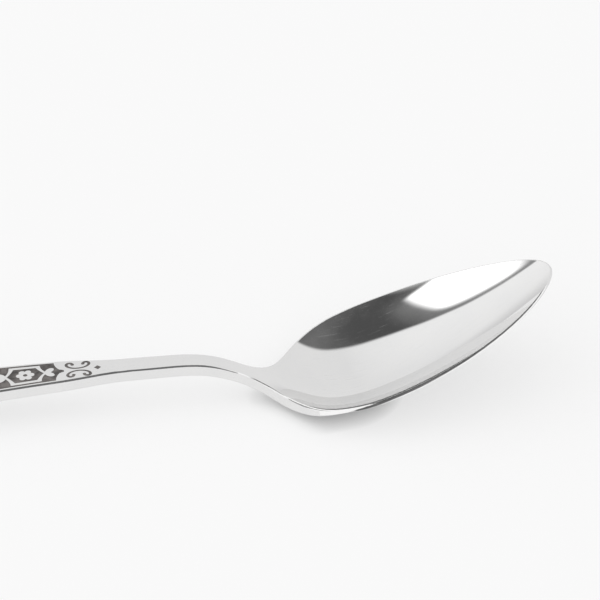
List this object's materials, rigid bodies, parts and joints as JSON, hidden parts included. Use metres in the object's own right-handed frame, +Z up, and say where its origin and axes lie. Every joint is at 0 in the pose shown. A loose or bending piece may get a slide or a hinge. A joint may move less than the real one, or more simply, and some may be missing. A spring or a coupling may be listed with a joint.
{
  "type": "teaspoon",
  "caption": "Polished metal teaspoon with a pointed oval bowl, a slim cranked stem and a flat handle whose face carries a dark inlaid panel of rosettes and scrolls.",
  "frame": {"origin": "on the table under the middle of the spoon's length, on its centre line", "axes": "+X along the spoon from the handle end to the bowl tip, +Z up out of the open bowl"},
  "size_m": [0.1366, 0.0304, 0.0213],
  "materials": {
    "polished_silver": "polished, mirror bright",
    "dark_inlay": "matt, dark grey"
  },
  "bodies": {
    "root": {"spoon_body": "polished_silver", "panel_ground": "dark_inlay", "cartouche_field_1": "dark_inlay", "rosette_eye_1": "dark_inlay", "cartouche_field_2": "dark_inlay", "rosette_eye_2": "dark_inlay", "cartouche_field_3": "dark_inlay", "rosette_eye_3": "dark_inlay", "neck_scroll_left": "dark_inlay", "neck_scroll_right": "dark_inlay", "neck_diamond": "dark_inlay", "end_scroll_left": "dark_inlay", "end_scroll_right": "dark_inlay", "end_diamond": "dark_inlay"}
  },
  "joints": []
}
